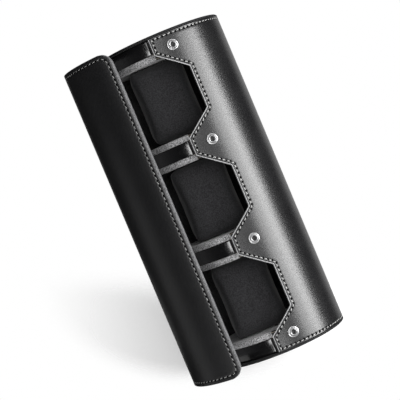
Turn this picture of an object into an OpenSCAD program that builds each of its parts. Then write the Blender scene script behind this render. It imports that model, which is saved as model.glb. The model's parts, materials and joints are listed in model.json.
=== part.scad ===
// Travel roll with three compartments: a rigid leather tube with a wavy snap
// panel, suede walls, slide-out cushions, and a curved flap on a leather hinge.
// It stands on its lower end, and the flap is part open.

/* [Body] */
// Outer radius of the tube and of its round ends
body_r = 47; // [44:0.5:52]
// Thickness of each round end
cap_t = 1.7; // [1.5:0.1:4]
// Thickness of the leather
leather_t = 1.0; // [0.8:0.1:1.2]
// Thickness of the board between leather and suede
board_t = 2.0; // [1.8:0.1:2.6]
// Thickness of the suede
suede_t = 0.8; // [0.7:0.1:1.1]

/* [Compartments] */
// Clear length of a compartment, along the tube
comp_l = 56; // [52:1:66]
// Thickness of a suede covered wall
wall_t = 4.3; // [3:0.1:6]
// Width of the leather band on a divider
band_w = 10.4; // [8:0.2:16]
// Width of the leather band at each end
end_band_w = 11.0; // [8:0.2:16]
// Depth of the leather bands below the rims of the walls
band_drop = 0.8; // [0.4:0.1:1.6]

/* [Snap panel] */
// Angle of the tabs' tips from the front, towards the right
tip_a = -7.4; // [-10:0.2:-4]
// Angle of the bottom of each cut-out
valley_a = 17.7; // [15:0.2:22]
// Length of the straight bottom of a cut-out
valley_l = 31.5; // [26:0.5:36]
// Length that a slanted edge takes up along the tube
slant_l = 15.5; // [12:0.5:18]

/* [Snaps] */
// Angle of the snaps from the front
snap_a = 9.8; // [9:0.1:10.4]
// Distance of the outer snaps from the ends of the case
snap_end = 11.6; // [10:0.1:13]
// Radius of the base ring of a stud
stud_r = 4.05; // [3.6:0.05:4.2]
// Radius of the rolled edge of that ring
stud_roll_r = 0.55; // [0.4:0.05:0.6]
// Radius of the neck of a stud
nub_r = 2.3; // [2:0.05:2.5]
// Radius of the bead round the neck's top
bead_r = 0.5; // [0.3:0.05:0.6]
// Height of a stud over the leather
nub_h = 2.4; // [2.1:0.05:2.5]
// Radius of the hollow rivet in a stud
rivet_r = 1.5; // [1.3:0.05:1.7]
// Radius of the rivet's head under the suede
rivet_head_r = 3.6; // [3:0.1:4]
// Radius of a socket in the flap
socket_r = 5.2; // [4.6:0.1:5.4]

/* [Flap] */
// Gap between the closed flap and the tube
flap_gap = 0.5; // [0.4:0.05:0.8]
// Distance of the flap's ends from the ends of the case
flap_inset = 1.15; // [0.5:0.05:3]
// Angle of the hinge line from the front
hinge_a = -109; // [-120:1:-100]
// Angle of the leather's free edge when the flap is closed
flap_end_a = 19.6; // [18:0.1:21]
// Width of the suede edge beyond the leather
edge_w = 1.3; // [1:0.1:3]
// Radius of the leather's free corners
corner_r = 8; // [5:0.5:12]
// Free length of the hinge strip on each side of the hinge line
hinge_free_w = 2.2; // [2:0.1:3]
// Width of the hinge strip sewn to the tube
hinge_wing_w = 14; // [8:1:20]
// How far the flap stands open
flap_open = 38; // [0:1:100]

/* [Cushions] */
// Width of a cushion
pad_w = 42; // [34:0.5:43]
// Depth of a cushion
pad_d = 60; // [50:1:62]
// Distance of the cushion's left side from the tube's axis
pad_left = 31; // [29:0.5:32]
// Distance of the cushion's front from the tube's axis
pad_front = 31; // [28:0.5:32]
// Gap between a cushion's end and the wall
pad_gap = 0.4; // [0.3:0.1:2]
// Swell of the front and back faces at their middle
pad_crown = 1.6; // [0:0.1:2.5]
// How far the left and right sides draw in at their middle
pad_draw = 1.2; // [0:0.1:2]

/* [Hidden] */
$fn = 96;

// Lengths and places along the tube
comp_count = 3;
comp_pitch = comp_l + 2 * wall_t + band_w;
comp_first = cap_t + end_band_w + wall_t;
function comp_low(i) = comp_first + i * comp_pitch;
function comp_mid(i) = comp_low(i) + comp_l / 2;
function divider_low(i) = comp_low(i) + comp_l + wall_t;
case_l = comp_low(comp_count - 1) + comp_l + comp_first;
snap_z = concat(
    [snap_end],
    [for (i = [0:comp_count - 2]) divider_low(i) + band_w / 2],
    [case_l - snap_end]
);

// Radii of the layers, from the inside out
wall_r = body_r - leather_t - board_t - suede_t;
lining_r = wall_r + suede_t;
cover_r = lining_r + board_t;
band_r = wall_r - band_drop;
core_r = band_r - leather_t;
flap_in_r = body_r + flap_gap;
flap_lining_r = flap_in_r + suede_t;
flap_board_r = flap_lining_r + board_t;
flap_out_r = flap_board_r + leather_t;
hinge_r = (flap_in_r + flap_out_r) / 2;

// Clearances
fit = 0.05;
glue_t = 0.05;
swing_gap = 0.3;
strip_gap = 0.12;
cut = 1;

// The front of the case is angle 0 and looks along -Y, and angles grow towards +X
function dir(a) = [sin(a), -cos(a)];
function along(a) = [cos(a), sin(a)];
function arc_deg(length, r) = length / r * 180 / PI;
function turned(p, a) = [p[0] * cos(a) - p[1] * sin(a), p[0] * sin(a) + p[1] * cos(a)];
function sag(r, half) = r - sqrt(r * r - half * half);

// Hinge line, the tube's edge before it and the flap's edge after it
hinge = hinge_r * dir(hinge_a);
shell_end_a = hinge_a - arc_deg(hinge_free_w, hinge_r);
flap_start_a = hinge_a + arc_deg(hinge_free_w, hinge_r);
edge_end_a = flap_end_a + arc_deg(edge_w, flap_board_r);

// A piece of a tube between two angles and two heights
module arc_layer(r_in, r_out, from_a, to_a, low, high) {
    rotate([0, 0, from_a - 90])
        rotate_extrude(angle = to_a - from_a, $fn = 180)
            translate([r_in, low])
                square([r_out - r_in, high - low]);
}

// Wave edge of the snap panel, drawn flat and cut in along the panel's middle radius
wave_mid = (tip_a + valley_a) / 2;
wave_half = body_r * sin((valley_a - tip_a) / 2);
wave_lean = atan(2 * wave_half / slant_l);
wave_reach = 3 * wave_half;
function wave_points(grow) =
    let (shift = grow * tan(wave_lean / 2),
        inner = valley_l / 2 + shift,
        outer = valley_l / 2 + slant_l + shift)
    concat(
        [[-wave_reach, -cut], [grow - wave_half, -cut]],
        [for (i = [0:comp_count - 1], p = [[-1, -outer], [1, -inner], [1, inner], [-1, outer]])
            [p[0] * wave_half + grow, comp_mid(i) + p[1]]],
        [[grow - wave_half, case_l + cut], [-wave_reach, case_l + cut]]
    );

module wave_cut(grow) {
    rotate([0, 0, wave_mid])
        rotate([90, 0, 0])
            linear_extrude(body_r + leather_t)
                polygon(wave_points(grow));
}

module shell_arc(r_in, r_out) {
    arc_layer(r_in, r_out, wave_mid - asin(wave_reach / body_r) + cut, 360 + shell_end_a,
        cap_t, case_l - cap_t);
}

// Places of the four snaps, with the snap's own axis along +Z at radius r
module at_snaps(r) {
    for (z = snap_z)
        rotate([0, 0, snap_a])
            translate([0, -r, z])
                rotate([90, 0, 0])
                    children();
}

// Leather skin of the tube, turned in over the board along the wave edge
stud_sink = sag(body_r, stud_r + fit);
module shell_cover() {
    color("#222225")
        difference() {
            union() {
                shell_arc(cover_r, body_r);
                intersection() {
                    shell_arc(lining_r, cover_r);
                    wave_cut(leather_t);
                }
            }
            wave_cut(0);
            at_snaps(body_r - stud_sink)
                cylinder(r = stud_r + fit, h = nub_h);
            at_snaps(lining_r - cut)
                cylinder(r = rivet_r + fit, h = board_t + leather_t + 2 * cut);
        }
}

// Stiff board that gives the tube its shape
module shell_board() {
    color("#8a7a60")
        difference() {
            shell_arc(lining_r, cover_r);
            wave_cut(leather_t);
            at_snaps(lining_r - cut)
                cylinder(r = rivet_r + fit, h = board_t + 2 * cut);
        }
}

// Suede inside the tube, with a pocket over each rivet's head
rivet_head_t = 0.4;
rivet_seat_r = sqrt(pow(lining_r, 2) - pow(rivet_head_r + fit, 2));
module shell_lining() {
    color("#4a4a4c")
        difference() {
            shell_arc(wall_r, lining_r);
            wave_cut(0);
            at_snaps(rivet_seat_r - rivet_head_t)
                cylinder(r = rivet_head_r + fit, h = board_t);
        }
}

// Round end: a leather cup over a board disc
module cap_cover() {
    color("#1c1c1e")
        difference() {
            cylinder(r = body_r, h = cap_t);
            translate([0, 0, leather_t])
                cylinder(r = body_r - leather_t, h = cap_t);
        }
}

module cap_board() {
    color("#8a7a60")
        translate([0, 0, leather_t])
            cylinder(r = body_r - leather_t, h = cap_t - leather_t);
}

// Turns a piece of the lower end round to the upper end
module at_top() {
    translate([0, 0, case_l])
        mirror([0, 0, 1])
            children();
}

module base_cap_cover() { cap_cover(); }
module base_cap_board() { cap_board(); }
module top_cap_cover() { at_top() cap_cover(); }
module top_cap_board() { at_top() cap_board(); }

// Foam disc that keeps two walls apart, and the leather band round its rim
module spacer(low, width) {
    color("#5a5a5a")
        translate([0, 0, low])
            cylinder(r = core_r, h = width);
}

module band(low, width) {
    color("#141416")
        translate([0, 0, low])
            difference() {
                cylinder(r = band_r, h = width);
                translate([0, 0, -cut])
                    cylinder(r = core_r, h = width + 2 * cut);
            }
}

module base_spacer() { spacer(cap_t, end_band_w); }
module base_band() { band(cap_t, end_band_w); }
module top_spacer() { at_top() spacer(cap_t, end_band_w); }
module top_band() { at_top() band(cap_t, end_band_w); }
module lower_divider_core() { spacer(divider_low(0), band_w); }
module lower_divider_band() { band(divider_low(0), band_w); }
module upper_divider_core() { spacer(divider_low(1), band_w); }
module upper_divider_band() { band(divider_low(1), band_w); }

// Places a wall at the low or the high end of compartment i, its suede face inwards
module at_wall(i, high) {
    translate([0, 0, comp_mid(i)])
        mirror([0, 0, high ? 1 : 0])
            translate([0, 0, -comp_l / 2 - wall_t])
                children();
}

// Suede over the face and the rim of a wall's board
module wall_suede(i, high) {
    color("#77777a")
        at_wall(i, high)
            difference() {
                cylinder(r = wall_r, h = wall_t);
                translate([0, 0, -cut])
                    cylinder(r = wall_r - suede_t, h = wall_t - suede_t + cut);
            }
}

module wall_board(i, high) {
    color("#8a7a60")
        at_wall(i, high)
            cylinder(r = wall_r - suede_t, h = wall_t - suede_t);
}

// Snap studs on the panel: a ring with a rolled edge round a beaded neck
module snap_studs() {
    color("#c8c8cc")
        at_snaps(body_r - stud_sink)
            difference() {
                union() {
                    cylinder(r = stud_r - stud_roll_r, h = stud_roll_r);
                    rotate_extrude()
                        translate([stud_r - stud_roll_r, stud_roll_r])
                            circle(r = stud_roll_r, $fn = 32);
                    cylinder(r = nub_r, h = nub_h + stud_sink - bead_r);
                    rotate_extrude()
                        translate([nub_r - bead_r + rivet_lip, nub_h + stud_sink - bead_r])
                            circle(r = bead_r, $fn = 32);
                }
                translate([0, 0, -cut])
                    cylinder(r = rivet_r + fit / 2, h = nub_h + 3 * cut);
            }
}

// Hollow rivets that hold the studs, with their heads under the suede
rivet_lip = 0.15;
rivet_wall = 0.5;
rivet_h = body_r + nub_h / 2 - rivet_seat_r;
module stud_rivets() {
    color("#b9b9bd")
        at_snaps(rivet_seat_r - rivet_head_t)
            difference() {
                union() {
                    cylinder(r = rivet_head_r, h = rivet_head_t);
                    cylinder(r = rivet_r, h = rivet_h);
                }
                translate([0, 0, rivet_head_t])
                    cylinder(r = rivet_r - rivet_wall, h = rivet_h);
            }
}

// Turns the flap's pieces from closed to the opening that it stands at
module opened() {
    translate([hinge[0], hinge[1], 0])
        rotate([0, 0, -flap_open])
            translate([-hinge[0], -hinge[1], 0])
                children();
}

// Curved plate of the closed flap with two round free corners, whose arcs stand
// out a little so that they cross the edges instead of only touching them
corner_out = 0.06;
module flap_plate(r_in, r_out, from_a, end_a, inset, corner) {
    low = flap_inset + inset;
    high = case_l - low;
    centre = corner - corner_out;
    difference() {
        arc_layer(r_in, r_out, from_a, end_a, low, high);
        for (side = [0, 1])
            translate([0, 0, case_l / 2])
                mirror([0, 0, side])
                    rotate([0, 0, end_a])
                        translate([-centre, -r_out - cut, high - case_l / 2 - centre])
                            corner_waste(corner, r_out - r_in + 2 * cut);
    }
}

module corner_waste(corner, depth) {
    difference() {
        cube([corner + cut, depth, corner + cut]);
        translate([0, depth + cut, 0])
            rotate([90, 0, 0])
                cylinder(r = corner, h = depth + 2 * cut);
    }
}

// Leather skin of the flap, turned in round the board's edges
board_end_a = flap_end_a - arc_deg(leather_t, flap_board_r);
before_start_a = flap_start_a - cut;
module flap_cover() {
    color("#1a1a1c")
        opened()
            difference() {
                flap_plate(flap_lining_r, flap_out_r, flap_start_a, flap_end_a, 0, corner_r);
                flap_plate(flap_lining_r - cut, flap_board_r, before_start_a, board_end_a,
                    leather_t, corner_r - leather_t);
            }
}

module flap_board() {
    color("#8a7a60")
        opened()
            difference() {
                flap_plate(flap_lining_r, flap_board_r, flap_start_a, board_end_a,
                    leather_t, corner_r - leather_t);
                at_snaps(flap_in_r)
                    cylinder(r = socket_r + fit, h = flap_out_r - flap_in_r);
            }
}

// Suede inside the flap, rolled up into an edge beyond the leather
module flap_lining() {
    color("#6d6d70")
        opened()
            difference() {
                flap_plate(flap_in_r, flap_board_r, flap_start_a, edge_end_a,
                    0, corner_r + edge_w);
                flap_plate(flap_lining_r, flap_out_r, before_start_a, flap_end_a,
                    -cut, corner_r + cut);
                at_snaps(flap_in_r - cut)
                    slot(stud_r + swing_gap, lining_slot, suede_t + 2 * cut);
            }
}

// A round hole drawn out towards the flap's free edge
module slot(r, length, depth) {
    cylinder(r = r, h = depth);
    translate([length, 0, 0])
        cylinder(r = r, h = depth);
    translate([0, -r, 0])
        cube([length, 2 * r, depth]);
}

// The sockets swing off the studs slantwise, so their mouths are drawn out by that way
swing_lean = tan((snap_a - hinge_a) / 2);
nub_top_r = body_r + nub_h;
roll_top_r = body_r - stud_sink + 2 * stud_roll_r;
socket_slot = (nub_top_r - flap_lining_r) * swing_lean + swing_gap;
lining_slot = max(
    (roll_top_r - flap_in_r) * swing_lean,
    (nub_top_r - flap_in_r) * swing_lean + nub_r + rivet_lip - stud_r
) + swing_gap;
socket_top_r = sqrt(pow(flap_board_r, 2) - pow(socket_r + fit, 2));
socket_back_t = 0.35;
module snap_sockets() {
    color("#c0c0c4")
        opened()
            at_snaps(flap_lining_r)
                difference() {
                    cylinder(r = socket_r, h = socket_top_r - socket_back_t - flap_lining_r);
                    translate([0, 0, -cut])
                        slot(nub_r + rivet_lip + swing_gap, socket_slot, board_t + 2 * cut);
                }
}

// Plates that close the sockets under the flap's leather
module socket_backs() {
    color("#a9a9ad")
        opened()
            at_snaps(socket_top_r - socket_back_t)
                cylinder(r = socket_r, h = socket_back_t);
}

// Leather strip sewn to the tube, which bends over the hinge line to the flap's skin
strip_r = body_r + glue_t + leather_t / 2;
strip_handle = 0.8 * hinge_free_w;
strip_from_a = shell_end_a - arc_deg(hinge_wing_w, body_r);
strip_steps = 8;
strip_a = strip_r * dir(shell_end_a);
strip_b = strip_a + strip_handle * along(shell_end_a);
strip_end_a = flap_start_a - arc_deg(strip_gap, hinge_r);
strip_d = hinge + turned((flap_out_r - leather_t / 2) * dir(strip_end_a) - hinge, -flap_open);
strip_c = strip_d - strip_handle * turned(along(strip_end_a), -flap_open);
function bend(t) = pow(1 - t, 3) * strip_a + 3 * pow(1 - t, 2) * t * strip_b
    + 3 * (1 - t) * t * t * strip_c + pow(t, 3) * strip_d;
strip_path = concat(
    [for (k = [0:strip_steps - 1])
        strip_r * dir(strip_from_a + (shell_end_a - strip_from_a) * k / strip_steps)],
    [for (k = [0:strip_steps]) bend(k / strip_steps)]
);
function path_side(path, off) = [for (i = [0:len(path) - 1])
    let (step = path[min(i + 1, len(path) - 1)] - path[max(i - 1, 0)])
    path[i] + off * [step[1], -step[0]] / norm(step)];
function reversed(list) = [for (i = [len(list) - 1:-1:0]) list[i]];
module hinge_strip() {
    color("#1e1e20")
        translate([0, 0, flap_inset])
            linear_extrude(case_l - 2 * flap_inset)
                polygon(concat(
                    path_side(strip_path, leather_t / 2),
                    reversed(path_side(strip_path, -leather_t / 2))
                ));
}

// Cushion: a squarish oval carried along the tube, with crowned faces, sides that
// draw in and round ends. An inset makes the space under its cover
pad_l = comp_l - 2 * pad_gap;
pad_sides = 28;
pad_square = 0.42;
pad_round = 4;
pad_rings = [-1, -0.97, -0.9, -0.6, -0.3, 0, 0.3, 0.6, 0.9, 0.97, 1];
function signed_pow(v, e) = sign(v) * pow(abs(v), e);
function end_inset(z, half) =
    let (past = max(0, abs(z) - half + pad_round))
    pad_round - sqrt(pad_round * pad_round - past * past);
function pad_ring(z, inset) =
    let (half = pad_l / 2 - inset,
        swell = cos(90 * z / half),
        wide = pad_w / 2 - inset - end_inset(z, half) - pad_draw * swell,
        deep = pad_d / 2 - inset - end_inset(z, half) + pad_crown * swell)
    [for (k = [0:pad_sides - 1])
        [wide * signed_pow(cos(360 * k / pad_sides), pad_square),
         deep * signed_pow(sin(360 * k / pad_sides), pad_square), z]];
function ring_face(ring, k) =
    let (a = ring * pad_sides + k, b = ring * pad_sides + (k + 1) % pad_sides)
    [[a, a + pad_sides, b], [b, a + pad_sides, b + pad_sides]];
module pad_form(inset) {
    rings = len(pad_rings);
    polyhedron(
        points = [for (s = pad_rings, p = pad_ring(s * (pad_l / 2 - inset), inset)) p],
        faces = concat(
            [[for (k = [0:pad_sides - 1]) k]],
            [for (r = [0:rings - 2], k = [0:pad_sides - 1], f = ring_face(r, k)) f],
            [[for (k = [pad_sides - 1:-1:0]) (rings - 1) * pad_sides + k]]
        )
    );
}

module at_cushion(i) {
    translate([pad_w / 2 - pad_left, pad_d / 2 - pad_front, comp_mid(i)])
        children();
}

// Sewn suede cover of cushion i
module cushion_cover(i) {
    color("#3a3a3d")
        at_cushion(i)
            difference() {
                pad_form(0);
                pad_form(suede_t);
            }
}

// Foam block inside the cover
module cushion_foam(i) {
    color("#6a6a6a")
        at_cushion(i)
            pad_form(suede_t + fit);
}

base_cap_cover();
base_cap_board();
top_cap_cover();
top_cap_board();
shell_cover();
shell_board();
shell_lining();
hinge_strip();
base_spacer();
base_band();
top_spacer();
top_band();
lower_divider_core();
lower_divider_band();
upper_divider_core();
upper_divider_band();
wall_suede(0, false);  // wall_1_low_suede
wall_board(0, false);  // wall_1_low_board
wall_suede(0, true);  // wall_1_high_suede
wall_board(0, true);  // wall_1_high_board
wall_suede(1, false);  // wall_2_low_suede
wall_board(1, false);  // wall_2_low_board
wall_suede(1, true);  // wall_2_high_suede
wall_board(1, true);  // wall_2_high_board
wall_suede(2, false);  // wall_3_low_suede
wall_board(2, false);  // wall_3_low_board
wall_suede(2, true);  // wall_3_high_suede
wall_board(2, true);  // wall_3_high_board
snap_studs();
stud_rivets();
flap_cover();
flap_board();
flap_lining();
snap_sockets();
socket_backs();
cushion_cover(0);  // cushion_1_cover
cushion_foam(0);  // cushion_1_foam
cushion_cover(1);  // cushion_2_cover
cushion_foam(1);  // cushion_2_foam
cushion_cover(2);  // cushion_3_cover
cushion_foam(2);  // cushion_3_foam
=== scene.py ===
import json
import math

import bmesh
import bpy
import numpy as np
from mathutils import Matrix, Vector


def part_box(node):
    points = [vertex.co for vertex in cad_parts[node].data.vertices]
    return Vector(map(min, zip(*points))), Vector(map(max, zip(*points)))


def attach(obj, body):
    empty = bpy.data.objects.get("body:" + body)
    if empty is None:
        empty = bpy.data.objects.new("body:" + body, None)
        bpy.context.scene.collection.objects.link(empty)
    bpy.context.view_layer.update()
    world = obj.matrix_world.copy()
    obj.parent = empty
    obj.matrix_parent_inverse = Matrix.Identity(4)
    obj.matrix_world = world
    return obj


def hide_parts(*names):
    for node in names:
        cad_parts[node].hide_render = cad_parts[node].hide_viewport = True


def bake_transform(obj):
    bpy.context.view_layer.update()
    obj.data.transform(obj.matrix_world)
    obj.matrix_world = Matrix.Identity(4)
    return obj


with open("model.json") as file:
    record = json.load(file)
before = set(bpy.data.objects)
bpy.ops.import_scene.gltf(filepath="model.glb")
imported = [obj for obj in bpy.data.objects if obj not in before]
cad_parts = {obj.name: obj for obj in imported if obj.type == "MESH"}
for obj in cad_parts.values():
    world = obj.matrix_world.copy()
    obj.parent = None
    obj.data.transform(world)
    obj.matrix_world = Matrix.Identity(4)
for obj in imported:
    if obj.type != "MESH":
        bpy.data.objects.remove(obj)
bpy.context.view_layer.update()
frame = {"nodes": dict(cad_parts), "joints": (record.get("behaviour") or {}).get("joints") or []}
MM = 0.001
scene = bpy.context.scene


# The photograph's viewpoint: a long lens a metre in front of the case, a little above
# its middle, rolled so that the case leans over to the left.
FILM = 36.0
LENS = 119.67
EYE = Vector((-0.0163, -0.971, 0.1471))
LOOK_DOWN = math.radians(1.58)
ROLL = math.radians(22.85)

looking = Vector((0, math.cos(LOOK_DOWN), -math.sin(LOOK_DOWN)))
upright = Vector((math.sin(ROLL), 0, math.cos(ROLL)))
rightward = looking.cross(upright).normalized()
upward = rightward.cross(looking)


def placed(name, data):
    """New object with that data in the scene."""
    thing = bpy.data.objects.new(name, data)
    scene.collection.objects.link(thing)
    return thing


camera = placed("camera", bpy.data.cameras.new("camera"))
camera.data.sensor_width = FILM
camera.data.lens = LENS
camera.data.clip_start = 0.05
camera.data.clip_end = 20
camera.matrix_world = Matrix.Translation(EYE) @ Matrix(
    [[rightward[k], upward[k], -looking[k]] for k in range(3)]).to_4x4()
scene.camera = camera
scene.view_settings.view_transform = "Standard"


# The tube is greyboard rolled to a cylinder. Smooth black leather is glued over it
# and turned in along the wavy edge of the snap panel, and sewn with pale thread.


def span(name):
    """Heights of the two ends of a CAD node."""
    return [corner.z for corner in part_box(name)]


BODY_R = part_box("base_cap_cover")[1].x
CASE_L = span("top_cap_cover")[1]
PANEL_LOW, PANEL_HIGH = span("shell_cover")
BOARD_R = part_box("shell_board")[1].x
LINING_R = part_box("shell_lining")[1].x
WALL_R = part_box("wall_1_low_suede")[1].x
LEATHER_T = BODY_R - BOARD_R
SUEDE_T = LINING_R - WALL_R
HINGE = frame["joints"][0]["pos_m"]
HINGE_R = math.hypot(HINGE[0], HINGE[1])
HINGE_A = math.atan2(HINGE[0], -HINGE[1])
HINGE_FREE = 2.2 * MM
COMPARTMENTS = [span(f"wall_{i}_low_suede")[1] / 2 + span(f"wall_{i}_high_suede")[0] / 2
                for i in (1, 2, 3)]
TIP_A = math.radians(-7.4)
VALLEY_A = math.radians(17.7)
VALLEY_L = 31.5 * MM
SLANT_L = 15.5 * MM
WAVE_CORNER = 1.6 * MM
FAR_TURN = 0.45 * MM
EDGE_ROLL = 0.75 * MM
RIM_ROLL = 0.5 * MM
SEAM_IN = 1.5 * MM
SEAM_GROOVE = 0.16 * MM
SEAM_GROOVE_W = 0.4 * MM
PANEL_PITCH = 3.4 * MM
HOLE_SHIFT = 0.3 * MM
HOLE_EDGE = (0.66 * MM, 0.46 * MM)
PULL_EDGE = (1.2 * MM, 0.2 * MM)
ROW_STEPS = SEAM_GROOVE_W * np.array([-2.2, -1.2, -0.6, 0, 0.6, 1.2, 2.2])
ROWS_FROM = 4 * MM
ROW_GAP = 1.6 * MM
NEAR_STEPS = MM * np.array([1.0, 3.4, 5])
TUBE_STEPS = 90
INNER_STEPS = 40
FAR_OFF = 1.0
MERGE = 0.1 * MM * MM


def polar(r, angle, z):
    """Points at radius r and that angle from the front, towards +X: (r sin, -r cos, z)."""
    return np.stack(np.broadcast_arrays(r * np.sin(angle), -r * np.cos(angle), z), -1)


def around(angle):
    """Level direction along the tube's skin at that angle: (cos, sin, 0)."""
    return np.stack([np.cos(angle), np.sin(angle), 0 * angle], -1)


def rolled(distance, radius):
    """Depth of a rolled edge: the radius less the height of a quarter circle, zero past it."""
    near = np.clip(1 - distance / radius, 0, 1)
    return radius * (1 - np.sqrt(1 - near ** 2))


def roll_steps(radius, degrees):
    """Distances r (1 - cos a) from a rolled edge, of the places at those angles round it."""
    return radius * (1 - np.cos(np.radians(degrees)))


def groove(distance):
    """Depth of the leather under a row of stitches: a bell curve across the row."""
    return SEAM_GROOVE * np.exp(-(distance / SEAM_GROOVE_W) ** 2)


def rounded_corners(corners, radius, steps):
    """Outline with its inner corners drawn as curves, and how each point moves per unit of offset.

    A curve is the quadratic (1-t)^2 A + 2t(1-t) V + t^2 B, which touches both sides of corner V.
    A corner moves along the sum of its two sides' normals over 1 + their product."""
    corners = np.array(corners, float)
    step = np.diff(corners, axis=0)
    step /= np.linalg.norm(step, axis=1)[:, None]
    normal = np.stack([step[:, 1], -step[:, 0]], 1)
    t = np.linspace(0, 1, steps)[:, None]
    points, moves = [corners[:1]], [normal[:1]]
    for v, u, w, n, m in zip(corners[1:-1], step, step[1:], normal, normal[1:]):
        reach = radius * np.tan(np.arccos(np.clip(u @ w, -1, 1)) / 2)
        points.append((1 - t) ** 2 * (v - reach * u) + 2 * t * (1 - t) * v + t ** 2 * (v + reach * w))
        moves.append(np.repeat([(n + m) / (1 + n @ m)], steps, 0))
    return np.vstack(points + [corners[-1:]]), np.vstack(moves + [normal[-1:]])


def grid_quads(rows, cols, loop=False):
    """Quads of a grid whose points are numbered row by row. A loop joins its last column to its first."""
    i = np.arange(rows - 1)[:, None]
    j = np.arange(cols if loop else cols - 1)[None, :]
    ahead = (j + 1) % cols
    return np.stack([i * cols + j, i * cols + ahead, (i + 1) * cols + ahead, (i + 1) * cols + j],
                    -1).reshape(-1, 4).tolist()


def closed_faces(rows, cols):
    """Quads of a grid of loops, with a flat face over the first loop and the last."""
    ends = [list(range(cols)), list(range((rows - 1) * cols, rows * cols))]
    return grid_quads(rows, cols, True) + ends


def loops_piece(name, loops, **kind):
    """Closed solid whose rows are loops of points."""
    return piece(name, loops, closed_faces(*loops.shape[:2]), **kind)


def mesh_of(name, points, faces):
    """New mesh of those points and faces."""
    mesh = bpy.data.meshes.new(name)
    mesh.from_pydata(np.asarray(points).reshape(-1, 3), [], faces)
    return mesh


def cleaned(mesh):
    """Merges a mesh's doubles, drops what has no size and turns its faces outwards."""
    made = bmesh.new()
    made.from_mesh(mesh)
    bmesh.ops.remove_doubles(made, verts=made.verts, dist=MERGE)
    bmesh.ops.dissolve_degenerate(made, edges=made.edges, dist=MERGE)
    bmesh.ops.recalc_face_normals(made, faces=made.faces)
    made.to_mesh(mesh)
    made.free()


def piece(name, points, faces, material, body, slot, stands_for=(), seam=None, sharp=35):
    """Finished object of those points and faces."""
    mesh = mesh_of(name, points, faces)
    if seam is not None:
        mesh.attributes.new("seam", "FLOAT_VECTOR", "POINT").data.foreach_set("vector", seam.ravel())
    cleaned(mesh)
    return finished(placed(name, mesh), material, body, stands_for, sharp)


def smoothed(thing, sharp=35):
    """Smooth shading that breaks at edges sharper than that angle in degrees."""
    thing.data.polygons.foreach_set("use_smooth", np.ones(len(thing.data.polygons), bool))
    thing.data.set_sharp_from_angle(angle=math.radians(sharp))


def finished(thing, material, body, stands_for=(), sharp=35):
    """Gives a new object its shading, material and body, and hides what it stands for."""
    smoothed(thing, sharp)
    thing.data.materials.clear()
    thing.data.materials.append(material)
    if body:
        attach(thing, body)
    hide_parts(*stands_for)
    return thing


def along_seam(flat, path):
    """Length along the path to each flat point's nearest place on it, and the distance to its left.

    The place is the nearest of the feet of the perpendiculars on the path's straight stretches.
    The distance has the sign of the cross product of the stretch and the way to the point."""
    step = np.diff(path, axis=0)
    length = np.linalg.norm(step, axis=1)
    passed = np.concatenate([[0], np.cumsum(length)[:-1]])
    foot = np.clip(((flat[:, None] - path[:-1]) * step).sum(-1) / length ** 2, 0, 1)
    gap = np.linalg.norm(flat[:, None] - path[:-1] - foot[..., None] * step, axis=-1)
    near = gap.argmin(1)
    pick = np.arange(len(flat))
    way = flat - path[near]
    side = np.sign(step[near, 0] * way[:, 1] - step[near, 1] * way[:, 0])
    return np.stack([passed[near] + foot[pick, near] * length[near], side * gap[pick, near],
                     np.zeros(len(flat))], 1)


UP = np.array([0.0, 0, 1])
STITCH_RINGS = 7
STITCH_SIDES = 8
STITCH_W = 0.52 * MM
STITCH_FLAT = 0.62
STITCH_SHARE = 0.66
STITCH_SLANT = math.radians(14)


def stitches(name, path, pitch, place, material, body, slot, width=STITCH_W):
    """Row of stitches along a flat path, one every pitch, each a closed arched bead of thread.

    Along a stitch, x = L (u - 1/2) and its width goes as (4u(1-u))^0.4. It arches by 4u(1-u)
    over a dip at its ends. place gives the points and the directions across and out on the real surface."""
    thick = STITCH_FLAT * width
    length = np.concatenate([[0], np.cumsum(np.linalg.norm(np.diff(path, axis=0), axis=1))])
    count = int(length[-1] / pitch)
    middle = (np.arange(count) + 0.5) * pitch
    ends = [np.stack([np.interp(middle + side * pitch / 4, length, path[:, k]) for k in (0, 1)], 1)
            for side in (-1, 1)]
    heading = np.arctan2(*(ends[1] - ends[0]).T[::-1]) + STITCH_SLANT
    centre, across, out = place((ends[0] + ends[1]) / 2)
    run = np.cos(heading)[:, None] * across + np.sin(heading)[:, None] * UP
    side = np.cross(out, run)
    u = np.linspace(0, 1, STITCH_RINGS)[:, None]
    turn = 2 * np.pi * np.arange(STITCH_SIDES)[None, :] / STITCH_SIDES
    fat = (4 * u * (1 - u)) ** 0.4
    x = (u - 0.5) * pitch * STITCH_SHARE + 0 * turn
    y = width / 2 * fat * np.cos(turn)
    z = thick / 2 * fat * np.sin(turn) + thick * (4 * u * (1 - u) - 0.5)
    bead = np.stack([x, y, z], -1).reshape(-1, 3)
    points = (centre[:, None] + bead[:, 0, None] * run[:, None] + bead[:, 1, None] * side[:, None]
              + bead[:, 2, None] * out[:, None])
    quads = np.array(grid_quads(STITCH_RINGS, STITCH_SIDES, True))
    faces = (quads[None] + (np.arange(count) * len(bead))[:, None, None]).reshape(-1, 4).tolist()
    return piece(name, points, faces, material=material, body=body, slot=slot, sharp=180)


def node(tree, kind, **values):
    """New node. Each value is a setting, or goes to the socket of that name, linked if it's a socket."""
    made = tree.nodes.new(kind)
    for key, value in values.items():
        if hasattr(made, key):
            setattr(made, key, value)
        else:
            plug(tree, made.inputs[key.replace("_", " ")], value)
    return made


def plug(tree, socket, value):
    """Links a socket to another one, or sets it to a value."""
    if isinstance(value, bpy.types.NodeSocket):
        tree.links.new(value, socket)
    else:
        socket.default_value = value


def maths(tree, operation, *values, kind="Math", gives=0):
    """Result of a math node on those values."""
    made = node(tree, f"ShaderNode{kind}", operation=operation)
    for socket, value in zip(made.inputs, values):
        plug(tree, socket, value)
    return made.outputs[gives]


def times(tree, first, second):
    """Product of two values."""
    return maths(tree, "MULTIPLY", first, second)


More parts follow.
